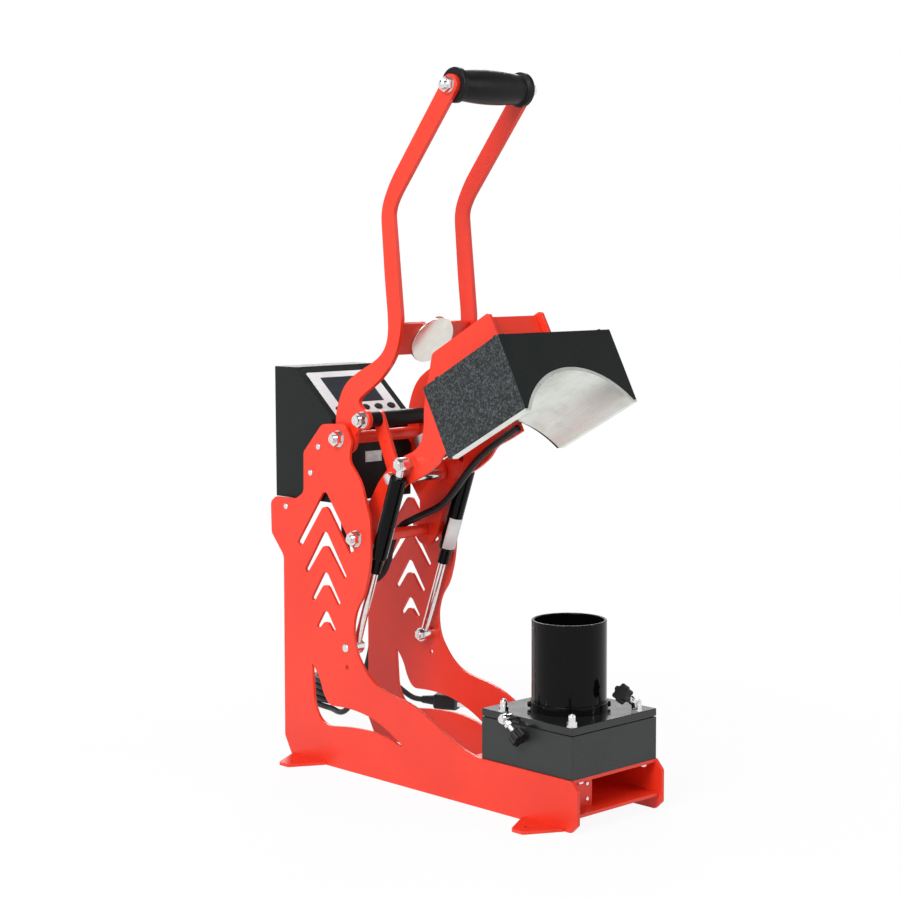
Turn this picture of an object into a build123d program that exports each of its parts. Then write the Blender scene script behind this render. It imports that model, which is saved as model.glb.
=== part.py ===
from build123d import *
import math
import os

# A benchtop heat press for balls: a red folded-steel frame, a toggle lever with a round grip,
# a tilting heated head with a curved platen, and an upright tube that carries the ball.
# X runs across, the operator stands at -Y, Z is up. The origin is on the bench, at the centre
# of the four foot holes. Lengths are in millimetres. It is drawn open, as it stands ready.

# Side plates
plate_thickness = 4.0
frame_width = 150.0
plate_top_at_pedestal = 60.0
plate_heel = -252.7
chevron_y = 174.0
cutout_corner = 1.5

# Foot tabs, folded out of the side plates
foot_reach = 43.5
foot_root = 65.0
foot_tip = 18.0
foot_hole_radius = 3.5
foot_hole_inset = 17.0
foot_pitch_y = 420.0

# Pivots, as (y, z)
handle_pivot = (145.0, 424.0)
link_pivot = (110.6, 449.0)
drive_pivot = (79.0, 376.3)
head_pivot = (113.3, 300.4)
spring_top = (45.5, 397.5)
spring_foot = (134.5, 158.5)
handle_swing = 67.0
head_swing = 28.0
running_clearance = 0.05
side_clearance = 0.3

# Shafts and their sleeves
shaft_radius = 5.0
link_shaft_radius = 6.0
handle_spacer_radius = 8.0
head_spacer_radius = 7.5
head_side_sleeve_radius = 8.0
link_sleeve_radius = 10.0
drive_sleeve_radius = 7.5
nut_width = 16.0
nut_height = 8.0
washer_radius = 10.5
wide_washer_radius = 10.5
washer_thickness = 1.5
stud_end = 4.0

# Handle
arm_thickness = 6.0
arm_gap = 6.0
grip_axis = (-47.5, 851.8)
grip_flange_radius = 21.0
grip_neck_radius = 17.5
grip_belly_radius = 20.7
grip_flange_width = 9.0
arm_lobe_radius = 20.0
arm_link_lobe_radius = 12.5
arm_end_radius = 12.5
crossplate_height = 44.0
crossplate_thickness = 5.0
armature_radius = 32.0
armature_thickness = 4.0
armature_face = (51.6, 547.9)
armature_tilt = 29.5

# Links
link_width = 20.0
link_thickness = 5.0
link_outer = 40.0

# Head
bracket_outer = 46.0
bracket_thickness = 4.0
head_hub_radius = 20.0
head_half_width = 95.0
head_front = -249.0
head_back = -106.5
head_bottom = 313.5
head_top = 406.0
head_sheet = 2.0
head_crossplate_front = -195.0
head_crossplate_thickness = 4.0
head_crossplate_low = 410.0
head_crossplate_high = 453.5
platen_radius = 104.5
platen_thickness = 4.5
platen_axis_z = 251.5
platen_foot = 310.5
platen_front = -248.5
platen_back = -114.0
platen_gap = 0.8
platen_side_gap = 1.0
platen_lip_height = 2.7
platen_lip_inset = 0.3
heater_thickness = 3.0
heater_half_angle = 44.0
insulation_side_gap = 4.0
magnet_radius = 27.0
magnet_height = 20.0
magnet_gap = 0.4
magnet_plate_length = 56.0
magnet_plate_thickness = 4.0

# Gas springs
spring_x = 58.5
cylinder_radius = 10.5
cylinder_length = 132.0
spring_rod_radius = 5.0
spring_eye_radius = 9.0
spring_eye_width = 11.0
spring_pin_radius = 4.0
spring_open_pivot_gap = 2.3
spring_neck_radius = 5.2

# Base plates and pedestal
base_sheet = 4.0
base_front = -253.0
base_back = -90.0
bottom_sheet_low = 17.0
bottom_sheet_front = -259.0
post_depth = 30.0
pedestal_half = 73.0
pedestal_sheet = 3.0
pedestal_height = 50.5
seam_height = 1.5
seam_inset = 2.5
tube_y = -180.0
mount_plate_thickness = 8.5
tube_radius = 44.5
tube_wall = 3.5
tube_height = 106.5
collar_wall = 1.6
collar_height = 10.5

# Control box
box_stand_off = 4.0
box_sheet = 2.0
box_front = 167.5
box_back = 281.5
box_low = 340.0
box_high = 510.0
slope_top_y = 242.0
slope_angle = 40.5
overlay_half_width = 56.0
overlay_from = 12.7
overlay_to = 95.0
overlay_thickness = 0.8
display_half_width = 39.0
display_from = 23.0
display_to = 71.0
display_thickness = 1.6
button_row = 81.5
button_pitch = 22.0
button_count = 5
button_width = 12.0
button_height = 9.0
button_proud = 1.6
button_travel = 1.0
button_stem_radius = 2.5
button_clearance = 0.35
board_depth = 14.0
board_thickness = 1.6

# Power cord
cord_radius = 4.0
cord_exit_x = 30.0
cord_exit_z = 372.0
coil_centre = (172.0, 425.0)
coil_radius = 45.0
coil_pitch = 8.8
coil_lift = 0.8
coil_turns = 4.5
heater_cable_radius = 4.5

# Places that follow from the sizes above
plate_outer = frame_width / 2
plate_inner = plate_outer - plate_thickness
box_half_width = plate_inner - box_stand_off
arm_outer = plate_inner - arm_gap
arm_inner = arm_outer - arm_thickness
bracket_inner = bracket_outer - bracket_thickness
link_inner = link_outer - link_thickness
base_low = plate_top_at_pedestal - base_sheet
pedestal_low = plate_top_at_pedestal
seam_low = pedestal_low + pedestal_height
mount_plate_low = seam_low + seam_height
mount_plate_high = mount_plate_low + mount_plate_thickness
tube_high = mount_plate_high + tube_height
LEFT_RIGHT = (-1, 1)
BOTTOM = (Align.CENTER, Align.CENTER, Align.MIN)
X_AXIS = (1, 0, 0)


def turned(shape, pivot, degrees):
    """The shape turned about the X line through a pivot given as (y, z)."""
    return shape.rotate(Axis((0, pivot[0], pivot[1]), X_AXIS), degrees)


def turned_point(point, pivot, degrees):
    angle = math.radians(degrees)
    dy = point[0] - pivot[0]
    dz = point[1] - pivot[1]
    y = pivot[0] + dy * math.cos(angle) - dz * math.sin(angle)
    z = pivot[1] + dy * math.sin(angle) + dz * math.cos(angle)
    return (y, z)


def opened(shape):
    """A head piece drawn closed, tipped back to the open pose."""
    return turned(shape, head_pivot, -head_swing)


def mirrored(shape):
    return mirror(shape, about=Plane.YZ)


def both_sides(shape):
    return [shape, mirrored(shape)]


def group(*parts):
    """Separate solids that share one node."""
    flat = []
    for part in parts:
        flat += [solid for piece in (part if isinstance(part, list) else [part])
                 for solid in piece.solids()]
    return Compound(children=flat)


def arc_limit(before, corner, after):
    """The largest fillet radius that the two runs at a corner leave room for."""
    run_in = Vector(*corner) - Vector(*before)
    run_out = Vector(*after) - Vector(*corner)
    half_turn = math.radians(run_in.get_angle(run_out)) / 2
    return 0.45 * min(run_in.length, run_out.length) / math.tan(half_turn)


def outline(points):
    """A closed flat face through (u, v) corners; a third number is that corner's radius."""
    corners = [point[:2] for point in points]
    count = len(corners)
    radii = []
    for i, point in enumerate(points):
        limit = arc_limit(corners[i - 1], corners[i], corners[(i + 1) % count])
        wanted = point[2] if len(point) > 2 else limit
        radii.append(min(wanted, limit))
    return make_face(FilletPolyline(*corners, radius=radii, close=True))


def sheet(face, x_low, thickness):
    """A flat face drawn as (y, z), given thickness from x_low towards +X."""
    return Pos(x_low, 0, 0) * extrude(Plane.YZ * face, amount=thickness)


def rod(pivot, radius, x_low, x_high, bore=0.0):
    """A round bar along X, or a tube when it has a bore."""
    shape = Cylinder(radius, x_high - x_low, align=BOTTOM)
    if bore > 0:
        shape -= Cylinder(bore, x_high - x_low, align=BOTTOM)
    return Pos(x_low, pivot[0], pivot[1]) * Rot(0, 90, 0) * shape


def hexagon(width, height, bore=0.0):
    shape = extrude(RegularPolygon(width / math.sqrt(3), 6), amount=height)
    if bore > 0:
        shape -= Cylinder(bore, height, align=BOTTOM)
    return shape


def outer_nut(pivot, x_face, bore, washer=washer_radius, width=nut_width, height=nut_height):
    """A washer and hexagon nut on the +X side of a face, threaded on a bar."""
    stack = Cylinder(washer, washer_thickness, align=BOTTOM)
    stack += Pos(0, 0, washer_thickness) * hexagon(width, height)
    stack -= Cylinder(bore, washer_thickness + height, align=BOTTOM)
    return Pos(x_face, pivot[0], pivot[1]) * Rot(0, 90, 0) * stack


def acorn(width, height, dome_radius):
    """A domed nut standing on its own origin."""
    return hexagon(width, height) + Pos(0, 0, height) * Sphere(dome_radius)


def pan_screw(radius, height):
    """A round screw head that stands on its own origin."""
    head = Cylinder(radius, height, align=BOTTOM)
    return fillet(head.edges().group_by(Axis.Z)[-1], height * 0.6)


def tube_along(points, radius, radii=None):
    """A round cord through chosen points, straight runs joined by the largest tangent arcs."""
    if radii is None:
        radii = []
        for i in range(1, len(points) - 1):
            radii.append(arc_limit(points[i - 1], points[i], points[i + 1]))
    path = FilletPolyline(*points, radius=radii)
    start = Plane(origin=path @ 0, z_dir=path % 0)
    shape = sweep(start * Circle(radius), path=path)
    expected = math.pi * radius ** 2 * path.length
    print("cord length", round(path.length, 1), "least radius", round(min(radii), 1),
          "volume ratio", round(shape.volume / expected, 5))
    return shape


# Side plates

SIDE_PROFILE = [
    (-252.8, 0, 3), (-263.3, 10, 4), (-263.3, 48.5, 4), (plate_heel, plate_top_at_pedestal, 3),
    (-103, plate_top_at_pedestal, 30), (-80, 65), (-46.8, 78), (0, 101), (27, 108.3),
    (52, 111.5), (78, 118), (97, 131), (117.5, 157), (121.5, 187), (114.5, 211),
    (100, 229), (90, 260), (86.3, 293), (87.5, 327), (93.5, 341), (104, 373), (126, 396),
    (124.5, 411, 12), (121.2, 421, 6), (134.8, 443.5, 7), (178.6, 440.5, 14),
    (215.6, 402.5, 8), (216.2, 350, 12), (232, 341, 14), (274.2, 340, 8),
    (283.7, 332.5, 8), (283.0, 292, 10), (258.2, 263.8, 14), (260, 25.3, 6), (245.4, 0, 5)]

SWOOSH = [
    (203.5, 131.5, 1.5), (199.5, 78), (190, 60), (172.9, 51.6), (123.8, 57.8), (84.4, 58.9),
    (52.3, 54.8), (20.6, 44.5, 1.5), (55.3, 65.1), (93.9, 78.3), (133.6, 81.7),
    (169.1, 79.2), (180.8, 93.1), (188, 112.4)]

# Each chevron: outer apex z, inner apex z, outer foot reach and z, inner foot reach and z
CHEVRONS = [
    (358.5, 340.5, 56, 284.5, 47, 280), (308.5, 290, 41, 250.5, 36, 246),
    (256.5, 240, 29, 214.5, 23, 210.5), (206, 190.5, 19, 179, 13, 176.5)]


def chevron(spec):
    top, under, outer, outer_z, inner, inner_z = spec
    return outline([
        (chevron_y - outer, outer_z, cutout_corner), (chevron_y, top, 7),
        (chevron_y + outer, outer_z, cutout_corner), (chevron_y + inner, inner_z, cutout_corner),
        (chevron_y, under, 9), (chevron_y - inner, inner_z, cutout_corner)])


def hole(centre, radius):
    return Pos(centre[0], centre[1]) * Circle(radius)


BOX_SCREWS = [(184.7, 411.3), (200.6, 376.8), (251.2, 329.2)]
box_screw_hole = 2.2
spare_hole = (133.8, 133.5)


def foot_tab(y_centre):
    """One tab folded outward at the floor, on the +X plate."""
    root = foot_root / 2
    tip = foot_tip / 2
    reach = plate_outer + foot_reach
    tab = outline([
        (plate_inner, y_centre - root, 0.5), (plate_outer + 2, y_centre - root, 4),
        (reach, y_centre - tip, 4), (reach, y_centre + tip, 4),
        (plate_outer + 2, y_centre + root, 4), (plate_inner, y_centre + root, 0.5)])
    tab -= Pos(reach - foot_hole_inset, y_centre) * Circle(foot_hole_radius)
    return extrude(tab, amount=plate_thickness)


def side_plate():
    face = outline(SIDE_PROFILE)
    for spec in CHEVRONS:
        face -= chevron(spec)
    face -= outline(SWOOSH)
    face -= hole(handle_pivot, shaft_radius + running_clearance)
    face -= hole(head_pivot, shaft_radius + running_clearance)
    face -= hole(spring_foot, spring_pin_radius + running_clearance)
    face -= hole(spare_hole, 3.2)
    for screw in BOX_SCREWS:
        face -= hole(screw, box_screw_hole)
    plate = sheet(face, plate_inner, plate_thickness)
    for side in LEFT_RIGHT:
        plate += foot_tab(side * foot_pitch_y / 2)
    return plate


# Base plates, the post behind the front opening, and their bolts

base_bolt_x = 55.0
base_bolt_y = (-247.0, -112.0)


def base_top_plate():
    length = base_back - base_front
    plate = Pos(0, base_front + length / 2, base_low) * Box(
        2 * plate_inner, length, base_sheet, align=BOTTOM)
    for x in (-base_bolt_x, base_bolt_x):
        for y in base_bolt_y:
            plate -= Pos(x, y, base_low) * Cylinder(3.1, base_sheet, align=BOTTOM)
    return plate


def base_bottom_plate():
    length = base_back - bottom_sheet_front
    return Pos(0, bottom_sheet_front + length / 2, bottom_sheet_low) * Box(
        2 * plate_inner, length, base_sheet, align=BOTTOM)


post_left = -plate_inner
post_front = -240.5
post_web = 45.0


def front_post():
    """A folded angle behind the front opening, on the operator's left."""
    low = bottom_sheet_low + base_sheet
    height = base_low - low
    flange = Pos(post_left, post_front, low) * Box(
        post_web, 3, height, align=(Align.MIN, Align.MIN, Align.MIN))
    web = Pos(post_left + post_web - 3, post_front, low) * Box(
        3, post_depth, height, align=(Align.MIN, Align.MIN, Align.MIN))
    return flange + web


def base_bolts():
    """Bolts up through the base top plate, into the pedestal's folded rim."""
    solids = []
    for x in (-base_bolt_x, base_bolt_x):
        for y in base_bolt_y:
            shank = Pos(x, y, base_low) * Cylinder(3, base_sheet, align=BOTTOM)
            head = Pos(x, y, base_low) * Rot(180, 0, 0) * pan_screw(5.5, 3.5)
            solids.append(shank + head)
    return group(solids)


def post_screws():
    solids = []
    low = bottom_sheet_low + base_sheet
    for dz in (9, 27):
        for x in (post_left + 8, post_left + post_web - 9):
            place = Plane(origin=(x, post_front, low + dz), z_dir=(0, -1, 0))
            solids.append(place * pan_screw(2.6, 1.6))
    return group(solids)


# Pedestal, tube plate and tube

def pedestal():
    """A folded box, open below, with a raised inner pad that leaves the dark seam."""
    outer = Pos(0, tube_y, pedestal_low) * Box(
        2 * pedestal_half, 2 * pedestal_half, pedestal_height, align=BOTTOM)
    pad = Pos(0, tube_y, seam_low) * Box(
        2 * (pedestal_half - seam_inset), 2 * (pedestal_half - seam_inset), seam_height,
        align=BOTTOM)
    inner = Pos(0, tube_y, pedestal_low) * Box(
        2 * (pedestal_half - pedestal_sheet), 2 * (pedestal_half - pedestal_sheet),
        pedestal_height - pedestal_sheet, align=BOTTOM)
    outer = fillet(outer.edges().filter_by(Axis.Z), 1.2)
    return outer + pad - inner


corner_stud_inset = 7.0
corner_stud_radius = 3.0
CORNER_STUDS = [(-66.0, -66.0), (-66.0, 43.0), (45.0, -66.0), (66.0, 66.0)]


def tube_mount_plate():
    plate = Pos(0, tube_y, mount_plate_low) * Box(
        2 * pedestal_half, 2 * pedestal_half, mount_plate_thickness, align=BOTTOM)
    plate = fillet(plate.edges().filter_by(Axis.Z), 1.2)
    plate = chamfer(plate.edges().group_by(Axis.Z)[-1], 0.5)
    for x, y in CORNER_STUDS:
        plate -= Pos(x, tube_y + y, mount_plate_low) * Cylinder(
            corner_stud_radius + running_clearance, mount_plate_thickness, align=BOTTOM)
    return plate


def corner_studs():
    """Studs through the tube plate with domed nuts."""
    solids = []
    for x, y in CORNER_STUDS:
        if (x, y) == CORNER_STUDS[2]:
            continue
        stud = Cylinder(corner_stud_radius, mount_plate_thickness, align=BOTTOM)
        top = Pos(0, 0, mount_plate_thickness)
        nut = top * (Cylinder(6.5, 1, align=BOTTOM) + Pos(0, 0, 1) * hexagon(10, 5))
        cap = top * Pos(0, 0, 6) * (Cylinder(4.2, 5, align=BOTTOM) + Pos(0, 0, 5) * Sphere(4.2))
        solids.append(Pos(x, tube_y + y, mount_plate_low) * (stud + nut + cap))
    return group(solids)


def ball_tube():
    tube = Cylinder(tube_radius, tube_height, align=BOTTOM)
    tube -= Cylinder(tube_radius - tube_wall, tube_height, align=BOTTOM)
    tube = fillet(tube.edges().group_by(Axis.Z)[-1], 1.2)
    return Pos(0, tube_y, mount_plate_high) * tube


def tube_collar():
    bore = tube_radius + running_clearance
    ring = Cylinder(tube_radius + collar_wall, collar_height, align=BOTTOM)
    ring = fillet(ring.edges().group_by(Axis.Z)[-1], 0.8)
    return Pos(0, tube_y, mount_plate_high) * (ring - Cylinder(bore, collar_height, align=BOTTOM))


def collar_screws():
    solids = []
    for angle in (-43.6, 136.4):
        way = (math.cos(math.radians(angle)), math.sin(math.radians(angle)), 0)
        start = tube_radius + collar_wall - 0.2
        place = Plane(origin=(start * way[0], tube_y + start * way[1],
                              mount_plate_high + collar_height / 2), z_dir=way)
        solids.append(place * pan_screw(3.6, 3.4))
    return group(solids)


# Swing clamps on the tube plate: an eye bolt, a nut and a star knob

knob_radius = 11.4
knob_height = 10.0
knob_points = 6
eye_bolt_radius = 3.0
eye_outer = 6.0
eye_width = 5.0
clamp_reach = 24.0
left_clamp_pivot = (-84.6, -156.0, 117.5)
left_clamp_way = (0.0, -0.80, -0.60)
left_clamp_pin = (1.0, 0.0, 0.0)
front_clamp_pivot = (45.0, -246.0, mount_plate_high + 9.0)
front_clamp_way = (-0.85, 0.0, 0.527)
front_clamp_pin = (0.0, 1.0, 0.0)
clamp_pin_radius = 2.5


def star_knob(pivot, way):
    """A six-point knob threaded on the end of an eye bolt."""
    base = Circle(knob_radius * 0.78)
    for i in range(knob_points):
        angle = 360 / knob_points * i
        base += Rot(0, 0, angle) * Pos(knob_radius * 0.72, 0) * Circle(knob_radius * 0.28)
    knob = extrude(base, amount=knob_height)
    knob += Pos(0, 0, -4) * Cylinder(knob_radius * 0.5, 4, align=BOTTOM)
    knob = knob - Pos(0, 0, -4) * Cylinder(
        eye_bolt_radius + running_clearance, knob_height + 1, align=BOTTOM)
    origin = Vector(*pivot) + Vector(*way).normalized() * clamp_reach
    return Plane(origin=origin, z_dir=way) * knob


def eye_bolt(pivot, way, pin):
    """An eye round its pin, with the threaded shank that the knob runs on."""
    eye = Plane(origin=pivot, z_dir=pin) * Cylinder(eye_outer, eye_width)
    along = Vector(*way).normalized()
    shank = Plane(origin=Vector(*pivot) + along * (eye_outer - 1.5), z_dir=way) * Cylinder(
        eye_bolt_radius, clamp_reach + knob_height - 2.5 - eye_outer, align=BOTTOM)
    nut = Plane(origin=Vector(*pivot) + along * (eye_outer + 1.5), z_dir=way) * hexagon(9, 4)
    shape = eye + shank + nut
    return shape - Plane(origin=pivot, z_dir=pin) * Cylinder(
        clamp_pin_radius + running_clearance, 3 * eye_width)


def left_clamp_post():
    """The pin that the left eye bolt swings on, out of the tube plate's edge."""
    x, y, z = left_clamp_pivot
    low = x - eye_width / 2 - 1.5
    pin = rod((y, z), clamp_pin_radius, low, -pedestal_half)
    cap = rod((y, z), clamp_pin_radius + 2, low - 1.5, low + 1.2)
    boss = rod((y, z), clamp_pin_radius + 2, x + eye_width / 2 + 0.3, -pedestal_half)
    return pin + cap + boss


def front_clamp_post():
    """A stud with a fork that carries the front eye bolt."""
    x, y, z = front_clamp_pivot
    stud = Pos(x, y, mount_plate_low) * Cylinder(corner_stud_radius, mount_plate_thickness,
                                                 align=BOTTOM)
    nut = Pos(x, y, mount_plate_high) * hexagon(11, 2.6)
    pin = Pos(x, y, z) * Rot(90, 0, 0) * Cylinder(clamp_pin_radius, eye_width + 5)
    shape = stud + nut + pin
    for side in LEFT_RIGHT:
        ear_y = y + side * (eye_width / 2 + 1.3)
        shape += Pos(x, ear_y, mount_plate_high) * Box(
            7, 2, z - mount_plate_high + 3, align=BOTTOM)
    return shape


# Fixed pivots of the frame

def through_shaft(pivot, radius, x_reach):
    return rod(pivot, radius, -x_reach, x_reach)


handle_shaft_reach = plate_outer + washer_thickness + nut_height + stud_end
head_shaft_reach = handle_shaft_reach


def outer_nuts(pivot, x_face, bore, washer=washer_radius):
    return group(both_sides(outer_nut(pivot, x_face, bore + running_clearance, washer)))


def spacer_tube(pivot, radius, x_end):
    """The tube round a pivot shaft, between the two pieces that turn on it."""
    reach = x_end - side_clearance
    return rod(pivot, radius, -reach, reach, shaft_radius + running_clearance)


def handle_pivot_washers():
    ring = rod(handle_pivot, 12, arm_outer + side_clearance, plate_inner,
               shaft_radius + running_clearance)
    return group(both_sides(ring))


def head_pivot_sleeves():
    ring = rod(head_pivot, head_side_sleeve_radius, bracket_outer + side_clearance, plate_inner,
               shaft_radius + running_clearance)
    return group(both_sides(ring))


# Handle

ARM_REAR = [
    (57.4, 742), (74.3, 709.2), (67.7, 623), (63.2, 583), (62.3, 563), (64.6, 549),
    (70.2, 537.5), (79.5, 528.5), (92.6, 520.7), (111.5, 512), (128.7, 503.2), (141, 494.5),
    (149.5, 484.5), (156.5, 471), (161.8, 455)]
ARM_FRONT = [
    (104.5, 457.5), (112.5, 463.5), (118, 468), (118.9, 472), (115.1, 477.1), (104.6, 483.9),
    (92.3, 491.3), (79.2, 500), (66.1, 511.6), (55.5, 523), (47.6, 536), (42.8, 550.3),
    (39.8, 563), (38.6, 576), (51.9, 705.9), (43.4, 722.2)]


def arm():
    grip_y, grip_z = grip_axis
    pivot_y, pivot_z = handle_pivot
    link_y, link_z = link_pivot
    body = outline(
        [(grip_y + 9.9, grip_z + 7.7, 3)] + ARM_REAR
        + [(pivot_y + arm_lobe_radius - 0.5, pivot_z, 20), (pivot_y, pivot_z - 12, 12),
           (link_y, link_z - 6, 10)]
        + ARM_FRONT + [(grip_y - 9.7, grip_z - 7.6, 3)])
    body += hole(handle_pivot, arm_lobe_radius)
    body += hole(link_pivot, arm_link_lobe_radius)
    body += hole(grip_axis, arm_end_radius)
    body -= hole(handle_pivot, shaft_radius + running_clearance)
    body -= hole(link_pivot, link_shaft_radius + running_clearance)
    body -= hole(grip_axis, shaft_radius + running_clearance)
    return sheet(body, arm_inner, arm_thickness)


def handle_grip():
    half = arm_inner
    flange_in = half - grip_flange_width
    bore = shaft_radius + running_clearance
    profile = Polyline((-half, bore), (-half, grip_flange_radius - 2)) + ThreePointArc(
        (-half, grip_flange_radius - 2), (-half + 0.6, grip_flange_radius - 0.6),
        (-half + 2, grip_flange_radius)) + Line(
        (-half + 2, grip_flange_radius), (-flange_in - 2, grip_flange_radius)) + Line(
        (-flange_in - 2, grip_flange_radius), (-flange_in + 1, grip_neck_radius)) + ThreePointArc(
        (-flange_in + 1, grip_neck_radius), (0, grip_belly_radius),
        (flange_in - 1, grip_neck_radius)) + Line(
        (flange_in - 1, grip_neck_radius), (flange_in + 2, grip_flange_radius)) + Line(
        (flange_in + 2, grip_flange_radius), (half - 2, grip_flange_radius)) + ThreePointArc(
        (half - 2, grip_flange_radius), (half - 0.6, grip_flange_radius - 0.6),
        (half, grip_flange_radius - 2)) + Polyline(
        (half, grip_flange_radius - 2), (half, bore), (-half, bore))
    body = revolve(make_face(profile), Axis.X)
    return Pos(0, grip_axis[0], grip_axis[1]) * body


def grip_rod():
    return rod(grip_axis, shaft_radius, -arm_outer - 6, arm_outer + 6)


def acorn_pair(pivot, x_face, bore):
    """Washer and domed nut over a bar's end, on both sides."""
    stack = Cylinder(washer_radius - 1, washer_thickness, align=BOTTOM)
    stack += Pos(0, 0, washer_thickness) * acorn(nut_width, 7, nut_width * 0.42)
    stack -= Cylinder(bore + running_clearance, 6.5, align=BOTTOM)
    return group(both_sides(Pos(x_face, pivot[0], pivot[1]) * Rot(0, 90, 0) * stack))


def armature_plane(offset=0.0):
    """The plane of the armature disc's polished face, looking the way it faces."""
    tilt = math.radians(armature_tilt)
    way = (0, -math.cos(tilt), -math.sin(tilt))
    origin = (0, armature_face[0] + way[1] * offset, armature_face[1] + way[2] * offset)
    return Plane(origin=origin, x_dir=X_AXIS, z_dir=way)


armature_bolt_radius = 4.0


def armature_disc():
    disc = Cylinder(armature_radius, armature_thickness, align=BOTTOM)
    disc = fillet(disc.edges().group_by(Axis.Z)[-1], 0.8)
    disc -= Cylinder(armature_bolt_radius + running_clearance, armature_thickness - 1.5,
                     align=BOTTOM)
    return armature_plane(-armature_thickness) * disc


def handle_crossplate():
    plate = Box(2 * arm_inner, crossplate_height, crossplate_thickness, align=BOTTOM)
    plate = fillet(plate.edges().filter_by(Axis.Z), 3)
    plate -= Cylinder(armature_bolt_radius + running_clearance, crossplate_thickness,
                      align=BOTTOM)
    return armature_plane(-armature_thickness - crossplate_thickness) * plate


def armature_bolt():
    reach = armature_thickness - 2 + crossplate_thickness
    shank = Cylinder(armature_bolt_radius, reach, align=BOTTOM)
    head = Pos(0, 0, -8) * (hexagon(13, 6.5) + Pos(0, 0, 6.5) * Cylinder(
        8, 1.5, align=BOTTOM))
    return armature_plane(-armature_thickness - crossplate_thickness) * (shank + head)


def link_shaft():
    reach = arm_outer + washer_thickness + nut_height + stud_end
    return rod(link_pivot, link_shaft_radius, -reach, reach)


def link_sleeves():
    bore = link_shaft_radius + running_clearance
    side = rod(link_pivot, link_sleeve_radius, link_outer + side_clearance, arm_inner, bore)
    middle_end = link_inner - side_clearance
    middle = rod(link_pivot, link_sleeve_radius, -middle_end, middle_end, bore)
    return group(both_sides(side) + [middle])


# Links, opened at their lower pivot

def link():
    reach = math.dist(link_pivot, drive_pivot)
    strip = SlotCenterToCenter(reach, link_width)
    strip = Pos(reach / 2, 0) * strip
    strip -= Circle(link_shaft_radius + running_clearance)
    strip -= Pos(reach, 0) * Circle(shaft_radius + running_clearance)
    angle = math.degrees(math.atan2(drive_pivot[1] - link_pivot[1],
                                    drive_pivot[0] - link_pivot[0]))
    face = Pos(link_pivot[0], link_pivot[1]) * Rot(0, 0, angle) * strip
    return sheet(face, link_inner, link_thickness)


drive_gap = 0.6


def drive_pin():
    """The lower pin, which stops short of the brackets where the linkage is opened."""
    reach = bracket_inner - drive_gap
    return rod(drive_pivot, shaft_radius, -reach, reach)


def drive_sleeve():
    reach = link_inner - 0.1
    return rod(drive_pivot, drive_sleeve_radius, -reach, reach, shaft_radius + running_clearance)


def drive_bolts():
    """The bolt ends that hold the lower pin's line in the head brackets."""
    stub = rod(drive_pivot, shaft_radius, bracket_inner, bracket_outer)
    head = outer_nut(drive_pivot, bracket_outer, 0.01, 8.5, 13, 6)
    solids = [stub + rod(drive_pivot, 3, bracket_outer, bracket_outer + 2) + head]
    return group(both_sides(solids[0]))


# Head, drawn closed and then opened

BRACKET = [
    (-204, head_top, 0), (-203, 456, 5), (-93, 456, 9), (-70, 430), (-47.5, 403.5),
    (-36, 381.7), (-22.3, 368), (-5, 364.5), (20, 366), (47, 366), (74.7, 356.5), (91, 347),
    (103, 341), (113, 321), (113, 280), (99, 284), (79, 303), (60, 320), (33.8, 334.5),
    (-11, 330.4), (-40, 333.8), (-56.5, 342), (-81, 340), (head_back, 340, 0),
    (head_back, head_top, 0)]


def head_bracket():
    face = outline(BRACKET) + hole(head_pivot, head_hub_radius)
    drive_closed = turned_point(drive_pivot, head_pivot, head_swing)
    spring_closed = turned_point(spring_top, head_pivot, head_swing)
    face += hole(spring_closed, 10)
    face -= hole(head_pivot, shaft_radius + running_clearance)
    face -= hole(drive_closed, shaft_radius + running_clearance)
    face -= hole(spring_closed, spring_pin_radius + running_clearance)
    return opened(sheet(face, bracket_inner, bracket_thickness))


def head_crossplate():
    height = head_crossplate_high - head_crossplate_low
    plate = Pos(0, head_crossplate_front, head_crossplate_low) * Box(
        2 * bracket_inner, head_crossplate_thickness, height,
        align=(Align.CENTER, Align.MIN, Align.MIN))
    return opened(plate)


def arch_cylinder(radius, front, back):
    """A solid cylinder along Y about the platen's axis."""
    length = back - front
    return Pos(0, front, platen_axis_z) * Rot(-90, 0, 0) * Cylinder(radius, length, align=BOTTOM)


def head_shell():
    """The folded cover, open below, with its front and back walls cut to the platen's arch."""
    width = 2 * head_half_width
    length = head_back - head_front
    height = head_top - head_bottom
    centre_y = head_front + length / 2
    shell = Pos(0, centre_y, head_bottom) * Box(width, length, height, align=BOTTOM)
    shell = fillet(shell.edges().filter_by(Axis.Z), 1.0)
    shell -= Pos(0, centre_y, head_bottom) * Box(
        width - 2 * head_sheet, length - 2 * head_sheet, height - head_sheet, align=BOTTOM)
    shell -= arch_cylinder(platen_radius + platen_thickness + platen_gap,
                           head_front - 5, head_back + 5)
    for wall_x in (-head_half_width + head_sheet / 2, head_half_width - head_sheet / 2):
        shell += Pos(wall_x, centre_y, head_bottom) * Box(head_sheet, length - 2, height,
                                                         align=BOTTOM)
    return opened(shell)


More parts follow.
